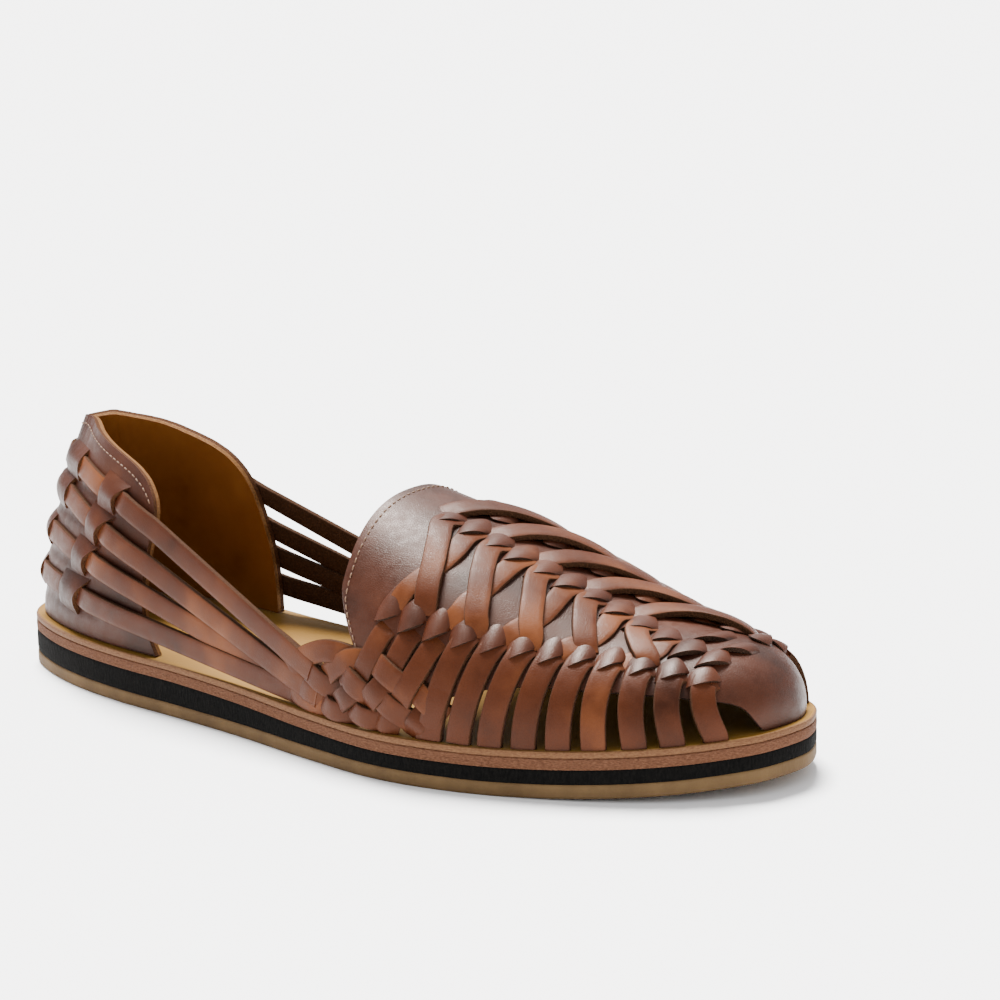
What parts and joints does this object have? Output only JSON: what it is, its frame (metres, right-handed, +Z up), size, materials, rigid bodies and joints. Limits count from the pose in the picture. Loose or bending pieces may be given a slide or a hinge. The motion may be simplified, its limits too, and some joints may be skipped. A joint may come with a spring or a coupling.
{
  "type": "huarache sandal",
  "caption": "Right huarache sandal: a woven leather vamp with open straps, a low braid at the waist, rear straps and a heel counter on a flat layered sole.",
  "frame": {"origin": "centre of the footprint on the floor, under the middle of the overall box", "axes": "+X from heel to toe, +Z up, so the outer side of this right shoe is at -Y and its big toe at +Y"},
  "size_m": [0.295, 0.1064, 0.0856],
  "materials": {
    "gum_rubber": "matt light brown sheet",
    "black_rubber": "matt, ground edge",
    "sole_leather": "raw trimmed edge",
    "insole_leather": "smooth natural tan",
    "upper_leather": "waxed reddish brown with a soft shine"
  },
  "bodies": {
    "root": {"outsole": "gum_rubber", "midsole_wedge": "black_rubber", "leather_midsole": "sole_leather", "insole": "insole_leather", "upper": "upper_leather", "heel_counter": "upper_leather"}
  },
  "joints": []
}
